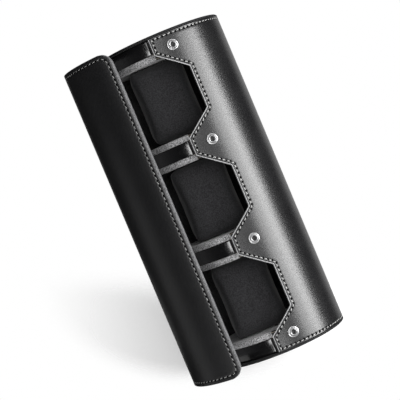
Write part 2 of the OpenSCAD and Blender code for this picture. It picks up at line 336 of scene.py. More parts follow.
def noise(tree, place, scale, detail=2.0, rough=0.5):
    """Soft noise at a place, about 0.5."""
    return node(tree, "ShaderNodeTexNoise", Vector=place, Scale=scale, Detail=detail,
                Roughness=rough).outputs["Fac"]


def spread(tree, value, low, high, to_low=0.0, to_high=1.0):
    """Smooth step from one value to another as the input goes from low to high."""
    made = node(tree, "ShaderNodeMapRange", interpolation_type="SMOOTHSTEP", From_Min=low,
                From_Max=high, To_Min=to_low, To_Max=to_high)
    plug(tree, made.inputs["Value"], value)
    return made.outputs["Result"]


def mixed(tree, share, first, second):
    """Colour between two colours."""
    made = tree.nodes.new("ShaderNodeMix")
    made.data_type = "RGBA"
    plug(tree, made.inputs["Factor"], share)
    colours = [s for s in made.inputs if s.type == "RGBA"]
    plug(tree, colours[0], first)
    plug(tree, colours[1], second)
    return next(s for s in made.outputs if s.type == "RGBA")


def two_tones(tree, shader, value, low, high, first, second):
    """Base colour that goes from one to another as the value goes from low to high."""
    share = spread(tree, value, low, high)
    plug(tree, shader.inputs["Base Color"], mixed(tree, share, (*first, 1), (*second, 1)))


def relief(tree, shader, height, distance=MM, strength=1.0):
    """Relief of that height, in units of the distance, under a surface's normal."""
    bump = node(tree, "ShaderNodeBump", Strength=strength, Distance=distance, Height=height)
    plug(tree, shader.inputs["Normal"], bump.outputs["Normal"])


def new_group(name, takes, gives):
    """Empty shader group with those inputs, each with its first value, and those outputs."""
    group = bpy.data.node_groups.new(name, "ShaderNodeTree")
    for label, first in takes.items():
        kind = "NodeSocketVector" if first is None else "NodeSocketFloat"
        socket = group.interface.new_socket(label, in_out="INPUT", socket_type=kind)
        if first is not None:
            socket.default_value = first
    for label in gives:
        group.interface.new_socket(label, in_out="OUTPUT", socket_type="NodeSocketFloat")
    inlet = group.nodes.new("NodeGroupInput")
    outlet = group.nodes.new("NodeGroupOutput")
    return group, inlet.outputs, outlet.inputs


def grain_group():
    """Finely pebbled leather: cells with soft creases between them, pores and a slow change of tone.

    Height is in millimetres, Tone says how pale a place is and Gloss how dull its pebbles are."""
    group, given, gives = new_group("leather_grain", {"Place": None, "Cell": 0.8, "Depth": 0.02},
                                    ["Height", "Tone", "Gloss"])
    size = maths(group, "DIVIDE", 1 / MM, given["Cell"])
    warp = node(group, "ShaderNodeTexNoise", Vector=given["Place"], Scale=900.0, Detail=2.0)
    bent = maths(group, "MULTIPLY_ADD", warp.outputs["Color"], (0.0006,) * 3, given["Place"],
                 kind="VectorMath")
    cells = node(group, "ShaderNodeTexVoronoi", feature="SMOOTH_F1", Smoothness=0.35, Vector=bent,
                 Scale=size)
    pores = noise(group, given["Place"], 1100.0, 4.0, 0.7)
    slow = noise(group, given["Place"], 45.0)
    crease = spread(group, cells.outputs["Distance"], 0.2, 0.75)
    rise = maths(group, "SUBTRACT", pores, crease)
    plug(group, gives["Height"], times(group, rise, given["Depth"]))
    plug(group, gives["Tone"], spread(group, slow, 0.25, 0.75))
    plug(group, gives["Gloss"], spread(group, pores, 0.3, 0.7))
    return group


def needle_group():
    """Marks that sewing leaves: a hole between two stitches, and the leather pulled down towards it.

    Seam is the length along the row and the distance from it. Holes lie at whole pitches, and
    Shift is how far they stand off the row."""
    group, given, gives = new_group("needle_marks", {"Seam": None, "Pitch": 2.4, "Shift": 0.0},
                                    ["Hole", "Pull"])
    parts = node(group, "ShaderNodeSeparateXYZ", Vector=given["Seam"])
    count = maths(group, "DIVIDE", parts.outputs["X"], given["Pitch"])
    share = maths(group, "ABSOLUTE", maths(group, "SUBTRACT", count, maths(group, "ROUND", count)))
    away = times(group, share, given["Pitch"])
    off = maths(group, "ADD", parts.outputs["Y"], given["Shift"])
    reach = maths(group, "SQRT", maths(group, "ADD", times(group, away, away), times(group, off, off)))
    # Hole masks painted shade: the dark inside each needle hole, painted on the flat leather.
    plug(group, gives["Hole"], spread(group, reach, *HOLE_EDGE))
    plug(group, gives["Pull"], spread(group, reach, *PULL_EDGE))
    return group


GRAIN = grain_group()
NEEDLE = needle_group()


def material(name, **surface):
    """New material with a Principled surface set to those constants."""
    made = bpy.data.materials.new(name)
    made.use_nodes = True
    tree = made.node_tree
    shader = tree.nodes["Principled BSDF"]
    for key, value in surface.items():
        shader.inputs[key.replace("_", " ")].default_value = value
    return made, tree, shader, node(tree, "ShaderNodeTexCoord").outputs["Object"]


def leather(name, dark, pale, rough, cell, depth, pitch=None, shift=0.0, coat=0.0, shine=0.5):
    """Finished leather: grain in colour, gloss and relief, with needle marks where it's sewn, whose holes
    are painted shade.
    """
    made, tree, shader, here = material(name, Specular_IOR_Level=shine, Coat_Weight=coat,
                                        Coat_Roughness=0.14)
    grain = node(tree, "ShaderNodeGroup", node_tree=GRAIN, Place=here, Cell=cell, Depth=depth)
    tone = maths(tree, "ADD", grain.outputs["Tone"], grain.outputs["Gloss"])
    colour = mixed(tree, times(tree, tone, 0.5), (*dark, 1), (*pale, 1))
    height = grain.outputs["Height"]
    gloss = spread(tree, grain.outputs["Gloss"], 0.0, 1.0, rough - 0.04, rough + 0.04)
    if pitch:
        seam = node(tree, "ShaderNodeAttribute", attribute_name="seam").outputs["Vector"]
        marks = node(tree, "ShaderNodeGroup", node_tree=NEEDLE, Seam=seam, Pitch=pitch, Shift=shift)
        # Painted shade in the needle holes: black colour, with Metallic raised there so the holes reflect
        # nothing.
        colour = mixed(tree, marks.outputs["Hole"], colour, (0.0005, 0.0005, 0.0005, 1))
        gloss = maths(tree, "ADD", gloss, times(tree, marks.outputs["Hole"], 0.6))
        plug(tree, shader.inputs["Metallic"], marks.outputs["Hole"])
        height = maths(tree, "SUBTRACT", height, times(tree, marks.outputs["Pull"], 0.25))
    plug(tree, shader.inputs["Base Color"], colour)
    plug(tree, shader.inputs["Roughness"], gloss)
    relief(tree, shader, height)
    return made


PANEL_LEATHER = leather("panel_leather", (0.004, 0.004, 0.0045), (0.011, 0.011, 0.0115), 0.27, 0.55,
                        0.02, PANEL_PITCH, HOLE_SHIFT)

# Edge of the panel on the flattened tube: x is the arc from the front, y the height
wave_mid = (TIP_A + VALLEY_A) / 2
wave_half = BODY_R * math.sin((VALLEY_A - TIP_A) / 2)
wave = [[-wave_half, PANEL_LOW]]
for mid in COMPARTMENTS:
    for sign, half in ((-1, VALLEY_L / 2 + SLANT_L), (-1, VALLEY_L / 2), (1, VALLEY_L / 2),
                       (1, VALLEY_L / 2 + SLANT_L)):
        wave.append([wave_half if half == VALLEY_L / 2 else -wave_half, mid + sign * half])
wave.append([-wave_half, PANEL_HIGH])
wave_points, wave_moves = rounded_corners(wave, WAVE_CORNER, 7)
wave_points[:, 0] = BODY_R * (wave_mid + np.arcsin(wave_points[:, 0] / BODY_R))

near_seam = SEAM_IN + ROW_STEPS
end_rows = np.concatenate([roll_steps(RIM_ROLL, [0, 20, 40, 60, 90]), near_seam])
rows_z = np.unique(np.concatenate([
    wave_points[:, 1], np.arange(PANEL_LOW + ROWS_FROM, PANEL_HIGH - ROWS_FROM, ROW_GAP),
    PANEL_LOW + end_rows, PANEL_HIGH - end_rows]).round(8))
edge_x = np.interp(rows_z, wave_points[:, 1], wave_points[:, 0])
move_x, move_z = (np.interp(rows_z, wave_points[:, 1], wave_moves[:, k]) for k in (0, 1))
PANEL_END = BODY_R * (2 * math.pi + HINGE_A - HINGE_FREE / HINGE_R)


def tube_grid(offs, far_share):
    """Flat points at distances offs from the wave edge, then on by shares of the way to the far end."""
    near_x = edge_x[:, None] + move_x[:, None] * offs
    near_z = rows_z[:, None] + move_z[:, None] * offs
    share = far_share[None, 1:]
    far_x = near_x[:, -1:] * (1 - share) + PANEL_END * share
    far_z = near_z[:, -1:] * (1 - share) + rows_z[:, None] * share
    return np.hstack([near_x, far_x]), np.hstack([near_z, far_z])


def tube_layer(name, r_out, thick, edge_roll, face_offs, **kind):
    """Sheet wrapped on the tube with a wavy edge. Along a row it goes round the sheet's outline.

    On the outside the depth is that of the nearer rolled edge plus the seam's groove."""
    offs = np.unique(np.concatenate([
        roll_steps(edge_roll, np.linspace(0, 90, 7)), near_seam, NEAR_STEPS]).round(8))
    out_x, out_z = tube_grid(offs, np.linspace(0, 1, TUBE_STEPS))
    off = np.concatenate([offs, np.full(TUBE_STEPS - 1, FAR_OFF)])[None]
    end_gap = np.minimum(out_z - PANEL_LOW, PANEL_HIGH - out_z)
    out_depth = np.maximum(rolled(off, edge_roll), rolled(end_gap, RIM_ROLL))
    out_depth = out_depth + np.maximum(groove(off - SEAM_IN), groove(end_gap - SEAM_IN)
                                       * (off > SEAM_IN))
    in_off, in_deep = np.transpose(face_offs)
    in_x, in_z = tube_grid(in_off, np.linspace(0, 1, INNER_STEPS))
    in_depth = np.concatenate([in_deep, np.full(INNER_STEPS - 1, thick)])[None] + 0 * in_x
    if face_offs[1][0] == 0:
        turned_in = face_offs[1][1]
        in_x = np.hstack([in_x, in_x[:, -1:], in_x[:, -1:] + FAR_TURN])
        in_z = np.hstack([in_z, in_z[:, -1:], in_z[:, -1:]])
        in_depth = np.hstack([in_depth, 0 * in_x[:, :1] + turned_in, 0 * in_x[:, :1] + turned_in])
        out_x[:, -1] += FAR_TURN
    flat_x = np.hstack([out_x[:, ::-1], in_x])
    flat_z = np.hstack([out_z[:, ::-1], in_z])
    depth = np.hstack([out_depth[:, ::-1], in_depth])
    flat_z[0], flat_z[-1] = PANEL_LOW, PANEL_HIGH
    loops = polar(r_out - depth, flat_x / BODY_R, flat_z)
    flat = np.stack([flat_x, flat_z], -1).reshape(-1, 2)
    return loops_piece(name, loops, seam=along_seam(flat, panel_seam), **kind)


sewn = (rows_z >= PANEL_LOW + SEAM_IN) & (rows_z <= PANEL_HIGH - SEAM_IN)
panel_seam = np.vstack([
    [PANEL_END, PANEL_LOW + SEAM_IN],
    np.stack([edge_x + move_x * SEAM_IN, rows_z + move_z * SEAM_IN], 1)[sewn],
    [PANEL_END, PANEL_HIGH - SEAM_IN]])
panel_turn = BODY_R - LINING_R
tube_layer("panel_leather", BODY_R, LEATHER_T, EDGE_ROLL,
           [(0, panel_turn / 2), (0, panel_turn), (LEATHER_T, panel_turn), (LEATHER_T, LEATHER_T),
            (4 * LEATHER_T, LEATHER_T)],
           material=PANEL_LEATHER, body="case", slot="shell_leather", stands_for=["shell_cover"])


def on_tube(flat):
    """Points of the tube's surface over flat points, with the directions across and out."""
    angle = flat[:, 0] / BODY_R
    return polar(BODY_R - SEAM_GROOVE, angle, flat[:, 1]), around(angle), polar(1, angle, 0)


def thread_material(name, dark, pale):
    """Waxed polyester thread, with painted shade: darker where its relief is low, between the plies."""
    made, tree, shader, here = material(name, Sheen_Weight=0.2, Roughness=0.55)
    plies = noise(tree, here, 2400.0)
    # Painted shade: the noise that makes the relief also darkens its low places between the plies.
    two_tones(tree, shader, plies, 0.35, 0.65, dark, pale)
    relief(tree, shader, plies, 0.1 * MM, 0.6)
    return made


THREAD = thread_material("pale_thread", (0.28, 0.28, 0.272), (0.56, 0.56, 0.545))
stitches("panel_stitches", panel_seam, PANEL_PITCH, on_tube, THREAD, "case", "shell_leather")


# The tube's inside is one sheet of dark suede, glued to the board and cut flush with
# the wavy edge. The board itself hardly shows once the case is put together.
SUEDE_ROLL = 0.3 * MM


def nap_group():
    """Short brushed nap: fibres lean in patches, so a place is paler or darker as it was stroked.

    Tone is the patches with a fine speckle on them, and Height the fibres' own relief."""
    group, given, gives = new_group("suede_nap", {"Place": None, "Fibre": 0.28, "Contrast": 1.0},
                                    ["Tone", "Height"])
    size = maths(group, "DIVIDE", 1 / MM, given["Fibre"])
    fibres = noise(group, given["Place"], size, 4.0, 0.7)
    tufts = noise(group, given["Place"], 1300.0, 1.0)
    patches = noise(group, given["Place"], 110.0, 3.0)
    speck = maths(group, "ADD", times(group, fibres, 0.4), times(group, tufts, 0.6))
    both = maths(group, "ADD", times(group, speck, 0.88), times(group, patches, 0.12))
    wide = times(group, maths(group, "SUBTRACT", both, 0.5), times(group, given["Contrast"], 4.5))
    tone = node(group, "ShaderNodeClamp", Value=maths(group, "ADD", wide, 0.5))
    plug(group, gives["Tone"], tone.outputs[0])
    plug(group, gives["Height"], speck)
    return group


NAP = nap_group()


def suede(name, dark, pale, contrast=1.0, sheen=0.25, depth=0.12):
    """Suede: two tones of nap, a soft sheen and a rough relief."""
    made, tree, shader, here = material(name, Roughness=0.92, Specular_IOR_Level=0.15,
                                        Sheen_Weight=sheen, Sheen_Roughness=0.45)
    nap = node(tree, "ShaderNodeGroup", node_tree=NAP, Place=here, Contrast=contrast)
    colour = mixed(tree, nap.outputs["Tone"], (*dark, 1), (*pale, 1))
    plug(tree, shader.inputs["Base Color"], colour)
    relief(tree, shader, times(tree, nap.outputs["Height"], depth))
    return made


def pressed_board(name, dark, pale):
    """Pressed board: two flat tones of pulp specks."""
    made, tree, shader, here = material(name, Roughness=0.95)
    pulp = noise(tree, here, 1500.0, 4.0)
    two_tones(tree, shader, pulp, 0.35, 0.7, dark, pale)
    relief(tree, shader, pulp, 0.1 * MM, 0.4)
    return made


def dress(finish, *nodes):
    """Gives CAD nodes that stay a finish of their own."""
    for name in nodes:
        kept = frame["nodes"][name]
        kept.data.materials.clear()
        kept.data.materials.append(finish)


DARK_SUEDE = suede("dark_suede", (0.03, 0.03, 0.031), (0.08, 0.08, 0.082))
GREYBOARD = pressed_board("greyboard", (0.16, 0.13, 0.1), (0.32, 0.28, 0.22))
# Black board: the end discs' own board, and painted shade where the bands and walls meet the tabs.
BLACK_BOARD_AND_SHADE = pressed_board("black_board_and_shade", (0.008, 0.008, 0.008), (0.02, 0.02, 0.02))
tube_layer("tube_suede", LINING_R, SUEDE_T, SUEDE_ROLL, [(0, SUEDE_T), (4 * LEATHER_T, SUEDE_T)],
           material=DARK_SUEDE, body="case", slot="suede_dark", stands_for=["shell_lining"])
dress(GREYBOARD, "shell_board")


# Along the wavy edge a narrow roll of grey suede comes up over the board and closes
# the edge under the leather, as a broader one does on the flap. Its pale suede is partly
# its own colour and partly a painted highlight along the leather's edge.
BEAD_R = 0.4 * MM
BEAD_OFF = -0.3 * MM
BEAD_DEEP = 0.62 * MM
BEAD_SIDES = 10

GREY_SUEDE = suede("grey_suede", (0.06, 0.06, 0.062), (0.42, 0.42, 0.425), contrast=1.3)
EDGE_SUEDE_AND_HIGHLIGHT = suede("edge_suede_and_highlight", (0.2, 0.2, 0.204), (0.38, 0.38, 0.385), contrast=0.6)
turn = 2 * np.pi * np.arange(BEAD_SIDES)[None] / BEAD_SIDES
inside = (rows_z > PANEL_LOW + BEAD_R) & (rows_z < PANEL_HIGH - BEAD_R)
off = BEAD_OFF + BEAD_R * np.cos(turn)
bead_x = edge_x[inside, None] + move_x[inside, None] * off
bead_z = rows_z[inside, None] + move_z[inside, None] * off
# Partly painted highlight: the bead's pale suede also stands for the light along the leather's edge.
loops_piece("edge_bead", polar(BODY_R - BEAD_DEEP + BEAD_R * np.sin(turn), bead_x / BODY_R, bead_z),
            material=EDGE_SUEDE_AND_HIGHLIGHT, body="case", slot="suede_grey")


# Each round end is a disc of board in a shallow cup of matt leather. The leather is
# turned over the rim and pressed down in a crease just inside it.
CAP_T = span("base_cap_cover")[1]
CAP_ROLL = 1.5 * MM
CAP_BACK_ROLL = 0.7 * MM
CAP_CREASE_R = BODY_R - 3.2 * MM
CAP_CREASE_W = 0.5 * MM
CAP_CREASE = 0.35 * MM
ROUND_STEPS = 180
EVENLY = np.linspace(-np.pi, np.pi, ROUND_STEPS, endpoint=False)


def ring_quads(rows, cols):
    """Quads of a grid of loops that closes on itself both ways."""
    return (np.array(grid_quads(rows + 1, cols, True)) % (rows * cols)).tolist()


def turned(name, profile, low=0.0, up=1.0, angle=EVENLY, sunk=0.0, **kind):
    """Outline (r, h) carried round the tube's axis at height low + up * h, drawn in by sunk."""
    profile = np.array(profile, float)
    radius = profile[None, :, 0] - np.reshape(sunk, (-1, 1))
    loops = polar(radius, angle[:, None], low + up * profile[None, :, 1])
    return piece(name, loops, ring_quads(len(angle), len(profile)), **kind)


def quarter(r, h, radius, start, steps=7):
    """Points of a quarter circle about (r, h), from the angle start on, in degrees from +r to +h."""
    turn = np.radians(start + np.linspace(0, 90, steps))
    return np.stack([r + radius * np.cos(turn), h + radius * np.sin(turn)], 1)


PLAIN_LEATHER = leather("end_leather", (0.005, 0.005, 0.0055), (0.011, 0.011, 0.0115), 0.66, 0.85,
                        0.04, shine=0.25)
across = np.linspace(-2.5, 2.5, 11) * CAP_CREASE_W
crease = np.stack([CAP_CREASE_R + across, CAP_CREASE * np.exp(-(across / CAP_CREASE_W) ** 2)], 1)
cap_outline = np.vstack([
    [[0, 0]], crease, quarter(BODY_R - CAP_ROLL, CAP_ROLL, CAP_ROLL, 270),
    quarter(BODY_R - CAP_BACK_ROLL, CAP_T - CAP_BACK_ROLL, CAP_BACK_ROLL, 0),
    [[BODY_R - LEATHER_T, CAP_T], [BODY_R - LEATHER_T, LEATHER_T], [0, LEATHER_T]]])
for end, low, up in (("base", 0, 1), ("top", CASE_L, -1)):
    turned(f"{end}_end_leather", cap_outline, low, up, material=PLAIN_LEATHER, body="case",
           slot="end_leather", stands_for=[f"{end}_cap_cover"])
    dress(BLACK_BOARD_AND_SHADE, f"{end}_cap_board")


# Between the compartments and at both ends a strip of glossy leather is wrapped
# round a disc of foam, which swells it a little between the suede walls. Past its dip
# beside the tabs, and on the hinge side, its faces are painted black as painted shade.
BAND_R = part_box("base_band")[1].x
BAND_SWELL = 0.22 * MM
BAND_ROLL = 0.5 * MM
BAND_DIP_A = math.radians(-10.6)
BAND_SHOULDER_R = 1.0 * MM
BAND_SHOULDER_A = math.radians(78)
BAND_SHOULDER = BAND_SHOULDER_R * math.sin(BAND_SHOULDER_A)

GLOSSY_LEATHER = leather("glossy_leather", (0.002, 0.002, 0.0022), (0.004, 0.004, 0.0044), 0.14, 0.9,
                         0.01, coat=0.8)
to_dip = np.array([-1.0, -0.05, *(np.linspace(0, 1, 15) - 1), 0.02]) * BAND_SHOULDER / BAND_R
to_hinge = HINGE_A - HINGE_FREE / HINGE_R
band_a = np.unique(np.concatenate([EVENLY, BAND_DIP_A + to_dip, to_hinge - to_dip]))
past = np.maximum(band_a - BAND_DIP_A, to_hinge - band_a) * BAND_R / BAND_SHOULDER + 1
over = np.clip(past, 0, 1) * BAND_SHOULDER
band_sunk = BAND_SHOULDER_R - np.sqrt(BAND_SHOULDER_R ** 2 - over ** 2)
BANDS = {"base_band": "base_spacer", "lower_divider_band": "lower_divider_core",
         "upper_divider_band": "upper_divider_core", "top_band": "top_spacer"}


def paint_shade_black(thing, shaded):
    """Paints shade: puts the black board material on the faces whose centres' radius and angle from the
    front pass a test.
    """
    thing.data.materials.append(BLACK_BOARD_AND_SHADE)
    for face in thing.data.polygons:
        x, y, _ = face.center
        face.material_index = int(shaded(math.hypot(x, y), math.atan2(x, -y)))


def foam(name, dark, pale):
    """Open foam: pale with dark cells."""
    made, tree, shader, here = material(name, Roughness=0.95)
    cells = node(tree, "ShaderNodeTexVoronoi", Vector=here, Scale=1400.0).outputs["Distance"]
    two_tones(tree, shader, cells, 0.1, 0.5, pale, dark)
    relief(tree, shader, cells, 0.3 * MM, 0.5)
    return made


FOAM = foam("dark_foam", (0.003, 0.003, 0.003), (0.012, 0.012, 0.012))
for name, core in BANDS.items():
    low, high = span(name)
    width = high - low
    h = np.linspace(BAND_ROLL, width - BAND_ROLL, 15)
    swell = BAND_SWELL * (1 - (2 * h / width - 1) ** 2)
    outline = np.vstack([
        quarter(BAND_R - BAND_ROLL, BAND_ROLL, BAND_ROLL, 270)[:-1], np.stack([BAND_R + swell, h], 1),
        quarter(BAND_R - BAND_ROLL, width - BAND_ROLL, BAND_ROLL, 0)[1:],
        [[BAND_R - LEATHER_T, width], [BAND_R - LEATHER_T, 0]]])
    band = turned(f"{name}_leather", outline, low, angle=band_a, sunk=band_sunk, material=GLOSSY_LEATHER,
                  body="case", slot="band_leather", stands_for=[name])
    # Painted shade: the faces past the dip and on the hinge side get the black material.
    paint_shade_black(band, lambda r, a: a > BAND_DIP_A or a < to_hinge)
    dress(FOAM, core)


# The walls of the compartments are board discs covered in pale grey suede, which is
# drawn over the rim as a soft roll. Beside the tabs the rim lies deeper, and its faces
# there are painted black as painted shade under the panel's edge.
WALL_ROLL = 1.5 * MM
WALL_SINK_SHADE_A = (math.radians(-12.4), math.radians(-8.6))
WALL_BACK_A = (math.radians(0), math.radians(6))
WALL_SUNK = 0.75 * MM
WALL_SHADE_R = WALL_R - WALL_ROLL - WALL_SUNK


def eased(value, low, high):
    """Smooth step 3t^2 - 2t^3 from 0 to 1 as the value goes from low to high."""
    t = np.clip((value - low) / (high - low), 0, 1)
    return t * t * (3 - 2 * t)


wall_a = np.unique(np.concatenate([EVENLY, np.radians(np.linspace(-14, 8, 34))]))
wall_sunk = WALL_SUNK * eased(wall_a, *WALL_SINK_SHADE_A) * (1 - eased(wall_a, *WALL_BACK_A))
for i in (1, 2, 3):
    for side, up in (("low", -1), ("high", 1)):
        name = f"wall_{i}_{side}_suede"
        low, high = span(name)
        thick = high - low
        outline = np.vstack([
            [[WALL_SUNK, 0]], quarter(WALL_R - WALL_ROLL, WALL_ROLL, WALL_ROLL, 270),
            quarter(WALL_R - WALL_ROLL / 2, thick - WALL_ROLL / 2, WALL_ROLL / 2, 0),
            [[WALL_R - SUEDE_T, thick], [WALL_R - SUEDE_T, SUEDE_T], [WALL_SUNK, SUEDE_T]]])
        nap = turned(f"wall_{i}_{side}_nap", outline, high if up < 0 else low, up, angle=wall_a,
                     sunk=wall_sunk, material=GREY_SUEDE, body="case", slot="suede_grey",
                     stands_for=[name])
        # Painted shade: black on the rim's faces beside the tabs, under the panel's edge.
        paint_shade_black(nap, lambda r, a: r > WALL_SHADE_R and WALL_SINK_SHADE_A[1] < a < WALL_BACK_A[1])
        dress(GREYBOARD, f"wall_{i}_{side}_board")


# Four snap studs stand on the tabs: a ring with a rolled edge, a dished floor and a
# beaded neck, clenched to the panel by a hollow rivet. They are nickel plated; the
# rivet's plate is painted darker, as painted shade in the stud's hollow.
SNAP_A = math.radians(9.8)
SNAP_ENDS = 11.6 * MM
SNAPS_Z = [SNAP_ENDS, *(sum(span(f"{name}_divider_band")) / 2 for name in ("lower", "upper")),
           CASE_L - SNAP_ENDS]
STUD_R = 4.05 * MM
STUD_SINK = BODY_R - math.sqrt(BODY_R ** 2 - STUD_R ** 2)
STUD_ROLL = (STUD_R - 0.55 * MM, 0.55 * MM)
STUD_BEAD = (2.2 * MM, 2.1 * MM, 0.27 * MM)
SNAP_STEPS = 64


def plated(name, tint, rough):
    """Nickel plate: bright, with fine rubbing in its gloss and a faint unevenness in its tint."""
    made, tree, shader, here = material(name, Metallic=1.0)
    rub = noise(tree, here, 1800.0, 3.0)
    dull = tuple(c * 0.9 for c in tint)
    two_tones(tree, shader, noise(tree, here, 300.0), 0.3, 0.7, dull, tint)
    plug(tree, shader.inputs["Roughness"], spread(tree, rub, 0.3, 0.75, rough, rough + 0.1))
    relief(tree, shader, rub, 0.02 * MM, 0.08)
    return made


NICKEL = plated("nickel", (0.54, 0.54, 0.545), 0.27)
# Painted shade: a darker copy of the nickel for the rivet, standing for the shade in the stud's hollow.
SHADED_NICKEL = plated("shaded_nickel", (0.17, 0.17, 0.172), 0.35)
stud_outline = np.vstack([
    [[1.53 * MM, -0.9 * MM], [3.3 * MM, -0.9 * MM], [3.5 * MM, 0]],
    quarter(*STUD_ROLL, 0.55 * MM, 300, 5)[1:-1], quarter(*STUD_ROLL, 0.55 * MM, 10, 9),
    quarter(*STUD_ROLL, 0.5 * MM, 110, 5),
    [[2.95 * MM, 0.42 * MM], [2.5 * MM, 0.55 * MM], [2.26 * MM, 0.9 * MM], [2.2 * MM, 1.75 * MM]],
    quarter(*STUD_BEAD, -60, 7), quarter(*STUD_BEAD, 45, 7)[1:],
    [[1.98 * MM, 1.8 * MM], [1.96 * MM, 1.4 * MM], [1.56 * MM, 0.95 * MM]]])
RIVET_R = 1.5 * MM
RIVET_BORE_R = 1.0 * MM
RIVET_HEAD_R = SNAPS_Z[0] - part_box("stud_rivets")[0].z
RIVET_HEAD_T = 0.4 * MM
rivet_seat = math.sqrt(LINING_R ** 2 - (RIVET_HEAD_R + 0.1 * MM) ** 2) - (BODY_R - STUD_SINK)
rivet_outline = np.array([
    [0, rivet_seat - RIVET_HEAD_T], [RIVET_HEAD_R, rivet_seat - RIVET_HEAD_T], [RIVET_HEAD_R, rivet_seat],
    [RIVET_R, rivet_seat], [RIVET_R, 0.9 * MM], [1.84 * MM, 1.4 * MM], [1.86 * MM, 1.75 * MM],
    [1.72 * MM, 1.74 * MM], [1.5 * MM, 1.36 * MM], [1.2 * MM, 1.02 * MM], [RIVET_BORE_R, 0.6 * MM],
    [RIVET_BORE_R, rivet_seat], [0, rivet_seat]])


def at_snap(r, z, points):
    """Turns points so that their third direction is the tube's outward one at the snaps' angle."""
    return (polar(r, SNAP_A, z) + points[..., :1] * around(SNAP_A) + points[..., 1:2] * UP
            + points[..., 2:] * polar(1, SNAP_A, 0))


def small_turning(outline):
    """Points of an outline (r, h) carried round its own axis."""
    angle = np.linspace(0, 2 * np.pi, SNAP_STEPS, endpoint=False)[:, None]
    return np.stack([outline[:, 0] * np.cos(angle), outline[:, 0] * np.sin(angle),
                     outline[:, 1] + 0 * angle], -1)


for name, outline, cad, plate in (("snap_stud_rings", stud_outline, "snap_studs", NICKEL),
                                  ("stud_rivet_tubes", rivet_outline, "stud_rivets", SHADED_NICKEL)):
    ring = small_turning(outline)
    quads = np.array(ring_quads(SNAP_STEPS, len(outline)))
    points = np.stack([at_snap(BODY_R - STUD_SINK, z, ring) for z in SNAPS_Z])
    faces = quads[None] + (np.arange(4) * (quads.max() + 1))[:, None, None]
    piece(name, points, faces.reshape(-1, 4).tolist(), material=plate, body="case", slot="snap_metal",
          stands_for=[cad], sharp=60)


# The flap is a curved board between leather and suede. The leather is turned in over
# the board's edges and sewn a little inside them; its free corners are round.
SUEDE_BACK = LEATHER_T + (BOARD_R - LINING_R)
FLAP_THICK = SUEDE_BACK + SUEDE_T
FLAP_IN_R = HINGE_R - FLAP_THICK / 2
FLAP_OUT_R = HINGE_R + FLAP_THICK / 2
FLAP_OPEN = -math.radians(frame["joints"][0]["range_deg"][0])
FLAP_START_A = HINGE_A + HINGE_FREE / HINGE_R
FLAP_END_A = math.radians(19.6)
FLAP_LOW, FLAP_HIGH = span("flap_cover")
FLAP_CORNER = 8 * MM
FLAP_EDGE_ROLL = 0.4 * MM
FLAP_SEAM_IN = 2.1 * MM
FLAP_END_SEAM_IN = 2.9 * MM
FLAP_PITCH = 3.7 * MM
FLAP_STITCH_W = 0.36 * MM
FLAP_ROWS_FROM = 10 * MM
FLAP_ROW_GAP = 2.5 * MM
FLAP_STEPS = 60
FLAP_W = FLAP_OUT_R * (FLAP_END_A - FLAP_START_A)


def shell_piece(name, outer, inner, seam, **kind):
    """Closed solid between two grids of points, with a strip round the border that joins them.

    The inner grid's places count as a metre from the seam, so the needle marks stay outside."""
    rows, cols = outer.shape[:2]
    far = rows * cols
    number = np.arange(far).reshape(rows, cols)
    border = np.concatenate([number[0], number[1:, -1], number[-1, -2::-1], number[-2:0:-1, 0]])
    ahead = np.roll(border, -1)
    strip = np.stack([border, ahead, ahead + far, border + far], 1).tolist()
    faces = grid_quads(rows, cols)
    faces += [[k + far for k in face] for face in faces] + strip
    return piece(name, np.concatenate([outer.reshape(-1, 3), inner.reshape(-1, 3)]), faces,
                 seam=np.vstack([seam, seam + [0, FAR_OFF, 0]]), **kind)


def opened(points):
    """Turns points of the closed flap about the hinge line to the opening that it stands at."""
    c, s = math.cos(FLAP_OPEN), math.sin(FLAP_OPEN)
    x, y = points[..., 0] - HINGE[0], points[..., 1] - HINGE[1]
    return np.stack([HINGE[0] + c * x + s * y, HINGE[1] - s * x + c * y, points[..., 2]], -1)


def on_flap(across, z, depth):
    """Points of the flap over flat places across it, at that depth under its leather."""
    return opened(polar(FLAP_OUT_R - depth, FLAP_START_A + across / FLAP_OUT_R, z))


def flap_edge_gap(across, z, width, radius):
    """Distance inwards from the free edge and the two ends, round corners and all."""
    end_gap = np.minimum(z - FLAP_LOW, FLAP_HIGH - z)
    x, y = radius - (width - across), radius - end_gap
    inside = np.minimum(width - across, end_gap)
    return np.where((x > 0) & (y > 0), radius - np.hypot(np.maximum(x, 0), np.maximum(y, 0)), inside)


corner_turn = np.linspace(0, 90, 17)
turned_in = [0.999 * LEATHER_T, 1.001 * LEATHER_T]
flap_ends = np.concatenate([roll_steps(FLAP_CORNER, corner_turn), turned_in,
                            roll_steps(FLAP_EDGE_ROLL, corner_turn[::3]), FLAP_END_SEAM_IN + ROW_STEPS])
flap_z = np.unique(np.concatenate([
    FLAP_LOW + flap_ends, FLAP_HIGH - flap_ends,
    np.arange(FLAP_LOW + FLAP_ROWS_FROM, FLAP_HIGH - FLAP_ROWS_FROM, FLAP_ROW_GAP)]).round(9))
flap_end_gap = np.minimum(flap_z - FLAP_LOW, FLAP_HIGH - flap_z)
cut_back = rolled(flap_end_gap, FLAP_CORNER)
near_edge = np.unique(np.concatenate([
    roll_steps(FLAP_EDGE_ROLL, np.linspace(0, 90, 7)), turned_in, [6 * MM],
    FLAP_SEAM_IN + ROW_STEPS]).round(9))
reach = (FLAP_W - cut_back - near_edge[-1])[:, None]
flap_x = np.hstack([reach * np.linspace(0, 1, FLAP_STEPS)[None, :-1],
                    (FLAP_W - cut_back)[:, None] - near_edge[None, ::-1]])
flap_zz = flap_z[:, None] + 0 * flap_x

